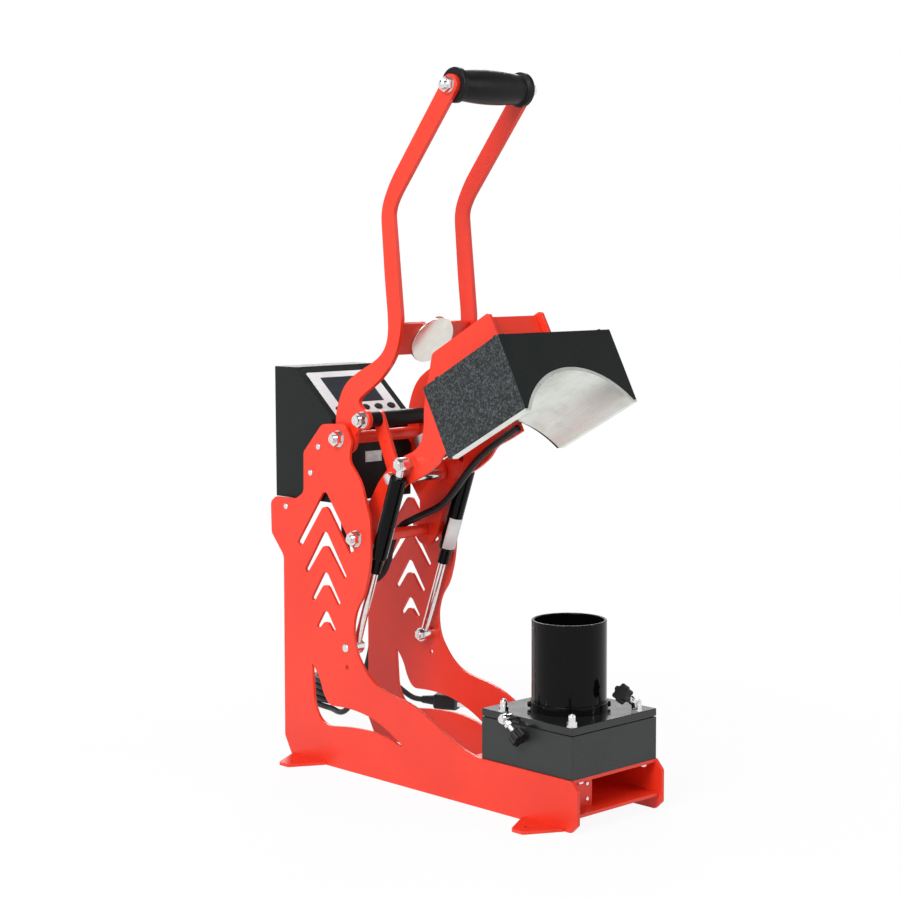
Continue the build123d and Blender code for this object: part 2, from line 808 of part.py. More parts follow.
def platen():
    """The curved heating plate: a thick arch whose feet stand a little below the cover."""
    outer = arch_cylinder(platen_radius + platen_thickness, platen_front, platen_back)
    inner = arch_cylinder(platen_radius, platen_front - 1, platen_back + 1)
    arch = outer - inner
    widest = 2 * (head_half_width - head_sheet - platen_side_gap)
    keep = Pos(0, (platen_front + platen_back) / 2, platen_foot) * Box(
        widest, platen_back - platen_front + 2, platen_radius * 2, align=BOTTOM)
    arch = arch & keep
    lip_inner = math.sqrt(platen_radius ** 2 - (platen_foot - platen_axis_z) ** 2) + 1
    lip_outer = head_half_width - platen_lip_inset
    for side in (-1, 1):
        arch += Pos(side * (lip_inner + lip_outer) / 2, (platen_front + platen_back) / 2,
                    platen_foot) * Box(lip_outer - lip_inner, platen_back - platen_front,
                                       platen_lip_height, align=BOTTOM)
    return opened(arch)


def arc_pad(inner, outer, half_angle, front, back):
    """A curved pad that follows the arch between two radii."""
    ring = arch_cylinder(outer, front, back) - arch_cylinder(inner, front - 1, back + 1)
    reach = 400.0
    edge = reach * math.tan(math.radians(half_angle))
    wedge = make_face(Polyline((0, 0), (-edge, reach), (edge, reach), (0, 0)))
    slab = Pos(0, back + 5, platen_axis_z) * extrude(
        Plane.XZ * wedge, amount=back - front + 10)
    return ring & slab


def heating_element():
    inner = platen_radius + platen_thickness
    pad = arc_pad(inner + 0.05, inner + heater_thickness, heater_half_angle,
                  platen_front + 8, platen_back - 8)
    return opened(pad)


def insulation():
    inner = platen_radius + platen_thickness + heater_thickness
    gap = insulation_side_gap
    front = head_front + head_sheet + gap
    back = head_back - head_sheet - gap
    block = Pos(0, (front + back) / 2, head_bottom + 22) * Box(
        2 * (head_half_width - head_sheet - gap), back - front,
        head_top - head_sheet - head_bottom - 22, align=BOTTOM)
    return opened(block - arch_cylinder(inner + 0.1, front - 5, back + 5))


HEAD_SIDE_SCREWS = (-240.3, -131.3)
HEAD_END_SCREWS = (-83.0, 80.0)


def head_screws():
    solids = []
    for y in HEAD_SIDE_SCREWS:
        for x in (-head_half_width + 4, head_half_width - 4):
            solids.append(Pos(x, y, head_top) * pan_screw(3.2, 2.4))
    for x in HEAD_END_SCREWS:
        solids.append(Pos(x, head_front + 5, head_top) * pan_screw(3.2, 2.4))
        solids.append(Pos(x, head_back - 5, head_top) * pan_screw(3.2, 2.4))
    return opened(group(solids))


def magnet_plane(depth):
    """A plane below the closed armature face, turned back with the head."""
    closed = turned_point(armature_face, handle_pivot, handle_swing)
    way = math.radians(180 + armature_tilt + handle_swing)
    # the disc faces this way when closed; the magnet faces the other way
    down = (math.cos(way), math.sin(way))
    origin = (closed[0] + down[0] * depth, closed[1] + down[1] * depth)
    origin = turned_point(origin, head_pivot, -head_swing)
    up = math.radians(armature_tilt + handle_swing - head_swing)
    return Plane(origin=(0, origin[0], origin[1]), x_dir=X_AXIS,
                 z_dir=(0, math.cos(up), math.sin(up)))


magnet_bolt_radius = 4.0


def electromagnet():
    body = Cylinder(magnet_radius, magnet_height, align=BOTTOM)
    body = chamfer(body.edges().group_by(Axis.Z)[0], 1.0)
    groove = Cylinder(magnet_radius - 5, 1.0, align=BOTTOM) - Cylinder(
        magnet_radius - 14, 1.0, align=BOTTOM)
    body -= Pos(0, 0, magnet_height - 0.8) * groove
    body -= Cylinder(magnet_bolt_radius + running_clearance, 8, align=BOTTOM)
    return magnet_plane(magnet_gap + magnet_height) * body


def magnet_plate():
    plate = Box(2 * bracket_inner, magnet_plate_length, magnet_plate_thickness, align=BOTTOM)
    plate -= Cylinder(magnet_bolt_radius + running_clearance, magnet_plate_thickness,
                      align=BOTTOM)
    return magnet_plane(magnet_gap + magnet_height + magnet_plate_thickness) * plate


def magnet_bolt():
    shank = Cylinder(magnet_bolt_radius, magnet_plate_thickness + 7, align=BOTTOM)
    head = Pos(0, 0, -8) * (hexagon(13, 6.5) + Pos(0, 0, 6.5) * Cylinder(8, 1.5, align=BOTTOM))
    return magnet_plane(magnet_gap + magnet_height + magnet_plate_thickness) * (shank + head)


# Gas springs: the cylinder turns on the head's stud, the rod's eye rides the frame's pin

spring_angle = math.degrees(math.atan2(spring_foot[1] - spring_top[1],
                                       spring_foot[0] - spring_top[0]))
spring_length = math.dist(spring_top, spring_foot)


def spring_plane(along, side=1):
    """A plane on the spring's axis, a distance down from the upper pin, facing the foot."""
    angle = math.radians(spring_angle)
    way = (0, math.cos(angle), math.sin(angle))
    origin = (side * spring_x, spring_top[0] + way[1] * along, spring_top[1] + way[2] * along)
    return Plane(origin=origin, x_dir=X_AXIS, z_dir=way)


cylinder_start = 17.0
cylinder_cap = 20.0
cylinder_cap_radius = 7.5


def spring_cylinder():
    end = cylinder_start + cylinder_length
    bore = spring_rod_radius + 0.1
    body = Cylinder(cylinder_radius, cylinder_length - cylinder_cap, align=BOTTOM)
    body = fillet(body.edges().group_by(Axis.Z)[0], 2.5)
    body = fillet(body.edges().group_by(Axis.Z)[-1], 2.0)
    cap = Pos(0, 0, cylinder_length - cylinder_cap) * Cylinder(
        cylinder_cap_radius, cylinder_cap, align=BOTTOM)
    body += cap
    body -= Pos(0, 0, 35) * Cylinder(bore, cylinder_length, align=BOTTOM)
    body -= Pos(0, 0, 30) * Cylinder(bore + 2, cylinder_length - cylinder_cap - 36, align=BOTTOM)
    shape = spring_plane(cylinder_start) * body
    neck = spring_plane(spring_eye_radius - 2) * Cylinder(
        spring_neck_radius, cylinder_start - spring_eye_radius + 3, align=BOTTOM)
    eye = rod(spring_top, spring_eye_radius, spring_x - spring_eye_width / 2,
              spring_x + spring_eye_width / 2)
    shape = shape + neck + eye
    return shape - rod(spring_top, spring_pin_radius + running_clearance, spring_x - 20,
                       spring_x + 20)


rod_inside = 60.0


def spring_rod():
    """The rod with its lower eye, which has play round the frame's pin."""
    start = cylinder_start + cylinder_length - rod_inside
    length = spring_length - start - spring_eye_radius + 2
    shape = spring_plane(start) * Cylinder(spring_rod_radius, length, align=BOTTOM)
    neck = spring_plane(spring_length - spring_eye_radius - 16) * Cylinder(
        spring_neck_radius, 18, align=BOTTOM)
    eye = rod(spring_foot, spring_eye_radius, spring_x - spring_eye_width / 2,
              spring_x + spring_eye_width / 2)
    shape = shape + neck + eye
    return shape - rod(spring_foot, spring_pin_radius + spring_open_pivot_gap, spring_x - 20,
                       spring_x + 20)


def spring_top_studs():
    """Studs on the head brackets that carry the upper eyes."""
    outer = spring_x + spring_eye_width / 2
    stud = rod(spring_top, spring_pin_radius, bracket_inner, outer + 4)
    shoulder = Pos(bracket_outer, spring_top[0], spring_top[1]) * Rot(0, 90, 0) * hexagon(
        12, spring_x - spring_eye_width / 2 - bracket_outer - side_clearance)
    nut = Pos(outer + side_clearance, spring_top[0], spring_top[1]) * Rot(0, 90, 0) * hexagon(
        12, 3.5)
    return group(both_sides(stud + shoulder + nut))


def spring_foot_pins():
    """Pins from the side plates that the lower eyes ride on."""
    inner = spring_x - spring_eye_width / 2
    pin = rod(spring_foot, spring_pin_radius, inner - 5, plate_outer + 2)
    shoulder = rod(spring_foot, 8, spring_x + spring_eye_width / 2 + side_clearance, plate_inner)
    nut = Pos(plate_outer, spring_foot[0], spring_foot[1]) * Rot(0, 90, 0) * pan_screw(5.5, 3)
    inner_nut = Pos(inner - side_clearance - 4, spring_foot[0], spring_foot[1]) * Rot(
        0, 90, 0) * hexagon(12, 4)
    return group(both_sides(pin + shoulder + nut + inner_nut))


# Control box

slope = math.radians(slope_angle)
slope_run = (slope_top_y - box_front) / math.cos(slope)


def slope_plane(down, height=0.0):
    """A plane on the sloped panel: +X across, origin down from its top edge, facing out."""
    y = slope_top_y - math.cos(slope) * down
    z = box_high - math.sin(slope) * down
    out = (0, -math.sin(slope), math.cos(slope))
    origin = (0, y + out[1] * height, z + out[2] * height)
    return Plane(origin=origin, x_dir=X_AXIS, z_dir=out)


def box_profile(inset):
    front = box_front + inset
    back = box_back - inset
    low = box_low + inset
    high = box_high - inset
    knee_y = slope_top_y + inset * math.tan(slope / 2)
    knee_z = high
    run = knee_y - front
    front_z = knee_z - run * math.tan(slope)
    return make_face(Polyline(
        (front, low), (front, front_z), (knee_y, knee_z), (back, high), (back, low),
        (front, low)))


button_places = [(i - (button_count - 1) / 2) * button_pitch for i in range(button_count)]


def control_box_shell():
    shell = sheet(box_profile(0), -box_half_width, 2 * box_half_width)
    shell = fillet(shell.edges().filter_by(Axis.X), 1.5)
    inside = sheet(box_profile(box_sheet), -box_half_width + box_sheet,
                   2 * (box_half_width - box_sheet))
    shell -= inside
    for x in button_places:
        shell -= slope_plane(button_row, -5) * Pos(x, 0, 0) * Cylinder(
            button_stem_radius + button_clearance, 10, align=BOTTOM)
    for y, z in BOX_SCREWS:
        shell -= rod((y, z), box_screw_hole, -box_half_width - 1, box_half_width + 1)
    shell -= Pos(cord_exit_x, box_back - 5, cord_exit_z) * Rot(-90, 0, 0) * Cylinder(
        gland_thread_radius, 10, align=BOTTOM)
    shell -= Pos(switch_x, box_back - 5, switch_z) * Box(
        switch_width, 20, switch_height)
    shell -= Pos(heater_exit[0], heater_exit[1], box_low - 2) * Cylinder(
        heater_gland_radius - 2, 8, align=BOTTOM)
    return shell


gland_thread_radius = 7.5
switch_x = -30.0
switch_z = 400.0
switch_width = 21.0
switch_height = 15.0
heater_exit = (-36.0, 182.0)
heater_gland_radius = 8.5


def panel_overlay():
    middle = (overlay_from + overlay_to) / 2
    face = RectangleRounded(2 * overlay_half_width, overlay_to - overlay_from, 2)
    window = (display_from + display_to) / 2
    face -= Pos(0, middle - window) * Rectangle(2 * display_half_width,
                                                display_to - display_from)
    for x in button_places:
        face -= Pos(x, middle - button_row) * Ellipse(
            button_width / 2 + button_clearance, button_height / 2 + button_clearance)
    return slope_plane(middle) * extrude(face, amount=overlay_thickness)


def display_window():
    window = (display_from + display_to) / 2
    glass = Box(2 * (display_half_width - 0.2), display_to - display_from - 0.4,
                display_thickness, align=BOTTOM)
    glass = chamfer(glass.edges().group_by(Axis.Z)[-1], 0.4)
    return slope_plane(window) * glass


def key_button(x):
    cap = extrude(Ellipse(button_width / 2, button_height / 2), amount=button_proud)
    cap = fillet(cap.edges().group_by(Axis.Z)[-1], 0.5)
    lift = button_travel + 0.1
    stem = Pos(0, 0, -board_depth + board_thickness + button_travel + 1.0) * Cylinder(
        button_stem_radius, board_depth - board_thickness + lift - button_travel - 1.0,
        align=BOTTOM)
    return slope_plane(button_row) * Pos(x, 0, 0) * (Pos(0, 0, lift) * cap + stem)


def control_board():
    middle = (overlay_from + overlay_to) / 2
    width = 2 * (box_half_width - box_sheet) - 6
    board = Box(width, 84, board_thickness, align=BOTTOM)
    for x in button_places:
        board += Pos(x, middle - button_row, board_thickness) * Box(6, 6, 0.8, align=BOTTOM)
    board += Pos(-10, 12, -7) * Box(60, 30, 7, align=BOTTOM)
    place = slope_plane(middle, -board_depth)
    for x in (-width / 2 + 4, width / 2 - 4):
        for v in (-38, 38):
            board += Pos(x, v, board_thickness) * Cylinder(
                2.5, board_depth - board_thickness - box_sheet, align=BOTTOM)
    return place * board


def control_relay():
    """The solid-state relay on the floor of the box, behind the display board."""
    y = 245.0
    base = Pos(10, y, box_low + box_sheet) * Box(58, 44, 4, align=BOTTOM)
    body = Pos(10, y, box_low + box_sheet + 4) * Box(52, 40, 22, align=BOTTOM)
    return base + body


def box_screws():
    """Screws and stand-off rings between the side plates and the control box."""
    solids = []
    for centre in BOX_SCREWS:
        ring = rod(centre, 5, box_half_width, plate_inner, box_screw_hole)
        shank = rod(centre, box_screw_hole - 0.1, box_half_width - box_sheet - 3, plate_outer + 1)
        head = Pos(plate_outer, centre[0], centre[1]) * Rot(0, 90, 0) * pan_screw(4, 2.4)
        solids += both_sides(ring) + both_sides(shank + head)
    return group(solids)


def cord_gland():
    thread = Cylinder(gland_thread_radius - 0.05, 10, align=BOTTOM)
    nut = Pos(0, 0, 5) * hexagon(19, 5)
    dome = Pos(0, 0, 10) * Cone(7.5, 5.8, 9, align=BOTTOM)
    shape = thread + nut + dome
    return Pos(cord_exit_x, box_back - 5, cord_exit_z) * Rot(-90, 0, 0) * shape


def heater_gland():
    """The grommet under the box where the heater cable comes out."""
    ring = Cylinder(heater_gland_radius, 6, align=BOTTOM)
    neck = Pos(0, 0, 6) * Cylinder(heater_gland_radius - 2.1, box_sheet + 2, align=BOTTOM)
    shape = ring + neck
    return Pos(heater_exit[0], heater_exit[1], box_low - 6) * shape


switch_bezel = 2.0
switch_tilt = 10.0


def switch_housing():
    outer = Pos(switch_x, box_back, switch_z) * Box(
        switch_width + 5, switch_bezel, switch_height + 5, align=(Align.CENTER, Align.MIN,
                                                                Align.CENTER))
    body = Pos(switch_x, box_back + switch_bezel, switch_z) * Box(
        switch_width - 0.2, 22, switch_height - 0.2, align=(Align.CENTER, Align.MAX,
                                                           Align.CENTER))
    well = Pos(switch_x, box_back + switch_bezel + 1, switch_z) * Box(
        switch_width - 3, 11, switch_height - 3, align=(Align.CENTER, Align.MAX, Align.CENTER))
    return outer + body - well


def switch_rocker():
    """A rocker on a pin along X, drawn with its lower end pressed in."""
    half = switch_width / 2 - 1.8
    tall = switch_height / 2 - 2.4
    face = make_face(Polyline((-4, -tall), (1.8, -tall), (0.4, 0), (1.8, tall), (-4, tall),
                              (-4, -tall)))
    body = Rot(switch_tilt / 2, 0, 0) * sheet(face, -half, 2 * half)
    return Pos(switch_x, box_back + switch_bezel - 1.0, switch_z) * body


# Power cord: out of the box, down behind the frame, a flat coil on the bench, and the plug

def coil_point(turn):
    angle = math.pi - 2 * math.pi * turn
    return Vector(coil_centre[0] + coil_radius * math.cos(angle),
                  coil_centre[1] + coil_radius * math.sin(angle),
                  cord_radius + coil_lift + coil_pitch * turn)


def coil_heading(turn):
    angle = math.pi - 2 * math.pi * turn
    rise = coil_pitch / (2 * math.pi * coil_radius)
    return Vector(math.sin(angle), -math.cos(angle), rise).normalized()


def biarc(start, start_way, end, end_way):
    """Two tangent arcs between two points and headings."""
    chord = end - start
    both = start_way + end_way
    spread = 2 * (1 - start_way.dot(end_way))
    reach = (-chord.dot(both) + math.sqrt(chord.dot(both) ** 2 + spread * chord.dot(chord)))
    reach /= spread
    joint = (start + end + (start_way - end_way) * reach) * 0.5
    first = TangentArc(start, joint, tangent=start_way)
    return [first, TangentArc(joint, end, tangent=first % 1)]


def power_cord_coil():
    edges = [Line(coil_point(0) - coil_heading(0) * 2 * cord_radius, coil_point(0))]
    quarters = round(coil_turns * 4)
    for i in range(quarters):
        edges += biarc(coil_point(i / 4), coil_heading(i / 4),
                       coil_point((i + 1) / 4), coil_heading((i + 1) / 4))
    end = coil_point(coil_turns)
    edges.append(Line(end, end + coil_heading(coil_turns) * 2 * cord_radius))
    path = Wire([edge.edge() if hasattr(edge, "edge") else edge for edge in edges])
    start = Plane(origin=path @ 0, z_dir=path % 0)
    shape = sweep(start * Circle(cord_radius), path=path)
    steps = 720
    points = [path @ (i / steps) for i in range(steps + 1)]
    per_turn = steps / (path.length / (2 * math.pi * coil_radius))
    least = min((points[i] - points[j]).length for i in range(0, steps, 3)
                for j in range(i + int(per_turn / 2), steps + 1, 3))
    print("coil length", round(path.length, 1), "least self gap",
          round(least - 2 * cord_radius, 2))
    return shape


coil_start = coil_point(0) - coil_heading(0) * 2 * cord_radius
coil_end = coil_point(coil_turns) + coil_heading(coil_turns) * 2 * cord_radius

FALL = [
    (cord_exit_x, box_back + 14, cord_exit_z), (cord_exit_x, 311, cord_exit_z),
    (37, 323, 368), (52, 329, 361), (74, 329, 350), (97, 324, 334), (115, 317, 312),
    (126, 311, 283), (131, 308, 246), (132, 308, 205), (131, 310, 164), (128.5, 314, 124),
    (125, 321, 86), (121, 331, 54), (117.5, 344, 28), (116, 357, 12), (116.5, 369, 5.4),
    (118.5, 381, 4.2), (123, 392, 4.05),
    tuple(coil_start - coil_heading(0) * 11), tuple(coil_start)]

plug_centre = (256.0, 300.0)
plug_length = 34.0
plug_width = 26.0
plug_height = 22.0
plug_way = (0.45, -0.893)
relief_length = 20.0


def plug_point(along, z):
    size = math.hypot(*plug_way)
    return (plug_centre[0] + plug_way[0] / size * along,
            plug_centre[1] + plug_way[1] / size * along, z)


cord_meets_plug = plug_point(-plug_length / 2 - relief_length, plug_height / 2)
TAIL = [
    tuple(coil_end), tuple(coil_end + coil_heading(coil_turns) * 9), (217.3, 397.5, 43.8),
    (218.4, 386.5, 40.0), (220.5, 376, 33.4), (223.7, 366, 26.0), (227.4, 356.6, 19.2),
    (231.4, 348.6, 13.8),
    plug_point(-plug_length / 2 - relief_length - 8.5, plug_height / 2), cord_meets_plug]


def plug_plane(along):
    x, y, z = plug_point(along, plug_height / 2)
    return Plane(origin=(x, y, z), x_dir=(-plug_way[1], plug_way[0], 0),
                 z_dir=(plug_way[0], plug_way[1], 0))


def power_plug():
    body = extrude(RectangleRounded(plug_width, plug_height, 5), amount=plug_length)
    body = fillet(body.edges().group_by(Axis.Z)[0], 4)
    shape = plug_plane(-plug_length / 2) * body
    relief = Cone(cord_radius + 1.2, cord_radius + 3.5, relief_length + 2, align=BOTTOM)
    shape += plug_plane(-plug_length / 2 - relief_length) * relief
    return shape


def plug_pins():
    """Two flat blades and a round earth pin."""
    solids = []
    for side in LEFT_RIGHT:
        solids.append(plug_plane(plug_length / 2) * Pos(side * 6.35, -2.5, 0) * Box(
            1.6, 6.4, 16, align=BOTTOM))
    earth = Cylinder(2.4, 18, align=BOTTOM)
    earth = fillet(earth.edges().group_by(Axis.Z)[-1], 2.0)
    solids.append(plug_plane(plug_length / 2) * Pos(0, 5.5, 0) * earth)
    return group(solids)


# Heater cable: a hanging loop from the box, over the head pivot, then up to the head

LOOP = [
    (heater_exit[0], heater_exit[1], box_low - 6), (heater_exit[0], heater_exit[1], 312),
    (-35.5, 181, 286), (-33, 177, 262), (-26, 169, 243), (-14, 158, 234), (-3, 149, 240),
    (3, 142, 257), (5, 139, 277), (8, 134, 296), (13, 124, 309), (20, 113, 315.5)]
RISER = [
    LOOP[-1], (27, 102, 322), (33, 88, 328.5), (36.2, 74.5, 336.5), (36.6, 61, 347.5),
    (36.5, 47.5, 361), (36.3, 32, 378), (36.2, 14, 395.5), (36.3, -7, 411.7),
    (36.5, -27, 424.3), (36.5, -44, 434.0), (36.5, -59.8, 443.1)]


def check_closed_reach():
    """Print where the closed armature and drive pins meet, as a check on the linkage."""
    link = turned_point(link_pivot, handle_pivot, handle_swing)
    drive = turned_point(drive_pivot, head_pivot, head_swing)
    print("link length open", round(math.dist(link_pivot, drive_pivot), 2),
          "closed", round(math.dist(link, drive), 2))
    foot = turned_point(spring_top, head_pivot, head_swing)
    print("spring length open", round(spring_length, 2),
          "closed", round(math.dist(foot, spring_foot), 2))


os.makedirs("parts", exist_ok=True)
check_closed_reach()

right_side_plate = side_plate()
right_arm = arm()
right_bracket = head_bracket()
right_cylinder = spring_cylinder()
right_rod = spring_rod()

knob_posts = [left_clamp_post(), front_clamp_post()]

nodes = {
    "left_side_plate": mirrored(right_side_plate),
    "right_side_plate": right_side_plate,
    "base_top_plate": base_top_plate(),
    "base_bottom_plate": base_bottom_plate(),
    "front_angle_post": front_post(),
    "base_bolts": group(base_bolts(), post_screws()),
    "pedestal_box": pedestal(),
    "tube_mount_plate": tube_mount_plate(),
    "tube_plate_studs": group(corner_studs(), knob_posts),
    "ball_tube": ball_tube(),
    "tube_collar": group(tube_collar(), collar_screws()),
    "pivot_shafts": group(
        through_shaft(handle_pivot, shaft_radius, handle_shaft_reach),
        through_shaft(head_pivot, shaft_radius, head_shaft_reach)),
    "pivot_spacers": group(
        spacer_tube(handle_pivot, handle_spacer_radius, arm_inner),
        spacer_tube(head_pivot, head_spacer_radius, bracket_inner),
        handle_pivot_washers(), head_pivot_sleeves()),
    "pivot_nuts": group(
        outer_nuts(handle_pivot, plate_outer, shaft_radius),
        outer_nuts(head_pivot, plate_outer, shaft_radius, wide_washer_radius)),
    "spring_foot_pins": spring_foot_pins(),
    "control_box_shell": control_box_shell(),
    "panel_overlay": panel_overlay(),
    "display_window": display_window(),
    "control_board": group(control_board(), control_relay()),
    "control_box_screws": box_screws(),
    "switch_housing": switch_housing(),
    "switch_rocker": switch_rocker(),
    "cable_glands": group(cord_gland(), heater_gland()),
    "heater_cable_loop": tube_along(LOOP, heater_cable_radius),
    "power_cord": tube_along(FALL, cord_radius),
    "power_cord_coil": power_cord_coil(),
    "power_cord_tail": tube_along(TAIL, cord_radius),
    "power_plug": power_plug(),
    "plug_pins": plug_pins(),
    "left_eye_bolt": eye_bolt(left_clamp_pivot, left_clamp_way, left_clamp_pin),
    "left_star_knob": star_knob(left_clamp_pivot, left_clamp_way),
    "front_eye_bolt": eye_bolt(front_clamp_pivot, front_clamp_way, front_clamp_pin),
    "front_star_knob": star_knob(front_clamp_pivot, front_clamp_way),
    "left_handle_arm": mirrored(right_arm),
    "right_handle_arm": right_arm,
    "handle_grip": handle_grip(),
    "handle_crossplate": handle_crossplate(),
    "armature_disc": armature_disc(),
    "link_shaft_sleeves": link_sleeves(),
    "handle_shafts": group(grip_rod(), link_shaft(), armature_bolt()),
    "handle_nuts": group(
        acorn_pair(grip_axis, arm_outer, shaft_radius),
        outer_nuts(link_pivot, arm_outer, link_shaft_radius)),
    "drive_links": group(both_sides(link())),
    "drive_pin": group(drive_pin(), drive_sleeve()),
    "left_head_bracket": mirrored(right_bracket),
    "right_head_bracket": right_bracket,
    "head_crossplates": group(head_crossplate(), magnet_plate()),
    "head_cover": head_shell(),
    "platen": platen(),
    "heating_element": heating_element(),
    "insulation": insulation(),
    "electromagnet": electromagnet(),
    "head_fasteners": group(drive_bolts(), spring_top_studs(), magnet_bolt(), head_screws()),
    "heater_cable_riser": tube_along(RISER, heater_cable_radius),
    "spring_cylinders": group(both_sides(right_cylinder)),
    "spring_rods": group(both_sides(right_rod)),
}
for i, place in enumerate(button_places):
    nodes[f"key_button_{i + 1}"] = key_button(place)

for name, shape in nodes.items():
    export_step(shape, f"parts/{name}.step")
print(len(nodes), "nodes")
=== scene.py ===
import math
import bmesh
import bpy
from mathutils import Matrix, Vector


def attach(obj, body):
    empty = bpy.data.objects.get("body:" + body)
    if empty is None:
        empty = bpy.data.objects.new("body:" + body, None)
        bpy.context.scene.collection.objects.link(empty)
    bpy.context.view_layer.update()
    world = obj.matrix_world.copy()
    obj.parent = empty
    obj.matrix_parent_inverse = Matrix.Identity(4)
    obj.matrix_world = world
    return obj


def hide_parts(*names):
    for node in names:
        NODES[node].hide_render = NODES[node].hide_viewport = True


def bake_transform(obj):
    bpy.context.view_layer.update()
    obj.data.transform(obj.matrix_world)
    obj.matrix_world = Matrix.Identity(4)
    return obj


# A benchtop heat press for balls, dressed for the camera. Lengths are in metres, in the frame of
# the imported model: X runs across, the operator stands at -Y, Z is up.

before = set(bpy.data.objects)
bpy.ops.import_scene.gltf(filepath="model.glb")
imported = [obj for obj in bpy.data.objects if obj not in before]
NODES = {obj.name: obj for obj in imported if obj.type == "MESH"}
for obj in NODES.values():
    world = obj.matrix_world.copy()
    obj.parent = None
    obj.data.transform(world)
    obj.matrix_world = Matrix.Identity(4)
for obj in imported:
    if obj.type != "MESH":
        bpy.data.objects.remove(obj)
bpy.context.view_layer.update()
MM = 0.001


def add_object(name, data):
    """A new object in the scene that shows a mesh, curve, lamp or camera."""
    piece = bpy.data.objects.new(name, data)
    bpy.context.scene.collection.objects.link(piece)
    return piece


def mesh_of(name, form):
    """The mesh of a form that is complete."""
    mesh = bpy.data.meshes.new(name)
    form.to_mesh(mesh)
    form.free()
    return mesh


# Camera, fitted to the photograph's perspective
camera_place = Vector((-1.7023, -1.7640, 0.6556))
camera_azimuth = math.radians(-43.63)
camera_pitch = math.radians(5.62)
camera_roll = math.radians(-0.24)
camera_lens = 80.07
camera_sensor = 36.0
camera_clip = (0.05, 60)


def make_camera():
    """The photograph's view, from its place, its turn about each axis and its lens."""
    back = Vector((math.sin(camera_azimuth) * math.cos(camera_pitch),
                   -math.cos(camera_azimuth) * math.cos(camera_pitch), math.sin(camera_pitch)))
    right = Vector((0, 0, 1)).cross(back).normalized()
    up = back.cross(right)
    turned_right = right * math.cos(camera_roll) + up * math.sin(camera_roll)
    turned_up = back.cross(turned_right)
    data = bpy.data.cameras.new("camera")
    data.lens = camera_lens
    data.sensor_width = camera_sensor
    data.clip_start, data.clip_end = camera_clip
    camera = add_object("camera", data)
    camera.matrix_world = Matrix.Translation(camera_place) @ Matrix(
        (turned_right, turned_up, back)).transposed().to_4x4()
    bpy.context.scene.camera = camera


# Node materials

edge_round = 0.0009
edge_samples = 6


class Finish:
    """One procedural material, built node by node in the row's own coordinates."""

    def __init__(self, name, color, roughness, metallic=0.0):
        self.material = bpy.data.materials.new(name)
        self.material.use_nodes = True
        self.tree = self.material.node_tree
        self.shader = self.tree.nodes["Principled BSDF"]
        self.set({"Base Color": (*color, 1), "Roughness": roughness, "Metallic": metallic})
        self.place = self.add("ShaderNodeTexCoord").outputs["Object"]
        self.normal = None

    def rounded(self):
        """Edges that catch the light as slightly rounded ones do."""
        self.normal = self.add("ShaderNodeBevel", {"Radius": edge_round},
                               samples=edge_samples).outputs["Normal"]
        self.tree.links.new(self.normal, self.shader.inputs["Normal"])
        return self

    def set(self, values):
        """Values that are the same all over, on the shader's own sockets."""
        for name, value in values.items():
            self.shader.inputs[name].default_value = value

    def add(self, kind, inputs=None, **settings):
        """A node whose inputs are linked where they are sockets, and set where they aren't."""
        node = self.tree.nodes.new(kind)
        for name, value in settings.items():
            setattr(node, name, value)
        for name, value in (inputs or {}).items():
            if isinstance(value, bpy.types.NodeSocket):
                self.tree.links.new(value, node.inputs[name])
            else:
                node.inputs[name].default_value = value
        return node

    def stretched(self, scale):
        """The place, scaled unevenly, for streaks and grain."""
        return self.add("ShaderNodeVectorMath", {0: self.place, 1: scale},
                        operation="MULTIPLY").outputs[0]

    def noise(self, size, detail=2.0, roughness=0.5, place=None):
        """Soft noise whose grains are about that size in metres."""
        return self.add("ShaderNodeTexNoise", {
            "Vector": place or self.place, "Scale": 1 / size, "Detail": detail,
            "Roughness": roughness}).outputs["Fac"]

    def cells(self, size, feature="SMOOTH_F1"):
        """Cells of about that size in metres, dark in the middle."""
        return self.add("ShaderNodeTexVoronoi", {
            "Vector": self.place, "Scale": 1 / size}, feature=feature).outputs["Distance"]

    def ramp(self, value, *stops):
        """Colours or greys at steps of a value."""
        node = self.add("ShaderNodeValToRGB", {"Fac": value})
        ramp = node.color_ramp
        while len(ramp.elements) < len(stops):
            ramp.elements.new(0.5)
        for element, (where, shade) in zip(ramp.elements, stops):
            element.position = where
            tone = (shade,) * 3 if isinstance(shade, float) else shade
            element.color = (*tone, 1)
        return node.outputs["Color"]

    def mix(self, factor, tone, stain):
        """One colour over another, where the factor shows it."""
        # The node's colours are its inputs 6 and 7 and its output 2.
        node = self.add("ShaderNodeMix", {"Factor": factor, 6: tone, 7: (*stain, 1)},
                        data_type="RGBA")
        return node.outputs[2]

    def color(self, socket):
        self.tree.links.new(socket, self.shader.inputs["Base Color"])
        return self

    def roughness(self, socket):
        self.tree.links.new(socket, self.shader.inputs["Roughness"])
        return self

    def bump(self, height, depth):
        """A relief of that depth in metres, over any relief laid before it."""
        inputs = {"Height": height, "Distance": depth, "Strength": 1.0}
        if self.normal is not None:
            inputs["Normal"] = self.normal
        self.normal = self.add("ShaderNodeBump", inputs).outputs["Normal"]
        self.tree.links.new(self.normal, self.shader.inputs["Normal"])
        return self


def red_powder_coat():
    """Smooth bright red powder coat with a faint orange peel."""
    finish = Finish("red_powder_coat", (0.86, 0.035, 0.018), 0.36).rounded()
    drift = finish.noise(0.12, 3)
    finish.color(finish.ramp(drift, (0.3, (0.78, 0.030, 0.010)), (0.7, (0.88, 0.040, 0.014))))
    finish.roughness(finish.ramp(finish.noise(0.004, 3), (0.3, 0.30), (0.7, 0.40)))
    return finish.bump(finish.noise(0.0011, 2), 0.00004).bump(finish.noise(0.006, 2), 0.00005)


